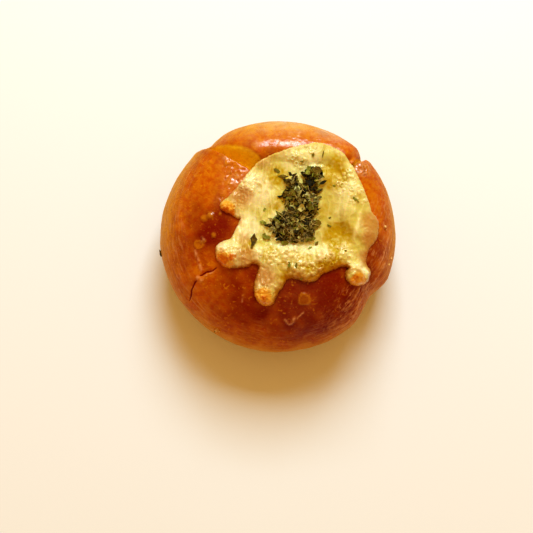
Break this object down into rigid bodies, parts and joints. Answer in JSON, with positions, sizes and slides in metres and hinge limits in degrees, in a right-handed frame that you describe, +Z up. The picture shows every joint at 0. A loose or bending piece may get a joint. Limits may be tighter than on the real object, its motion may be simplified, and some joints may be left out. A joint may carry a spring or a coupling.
{
  "type": "garlic cheese bun",
  "caption": "Round glazed bread bun, cut crosswise and opened into petals, with melted cheese filling the opening and running over the petals, and dried parsley heaped on top.",
  "frame": {"origin": "on the surface that the bun stands on, under the middle of its outline", "axes": "+Z up out of the opening, +Y towards the back petal, +X towards the right petal"},
  "size_m": [0.1035, 0.1013, 0.0585],
  "materials": {
    "crust": "baked bread crust, egg glazed and glossy, red-brown on top and golden brown down the sides, golden inside the cuts",
    "cheese": "melted cheese, pale yellow and slightly translucent, oily, with browned tips",
    "parsley": "dried parsley flakes, dull olive green to brown with paler stalks"
  },
  "bodies": {
    "root": {"bun": "crust", "cheese": "cheese"}
  },
  "joints": []
}
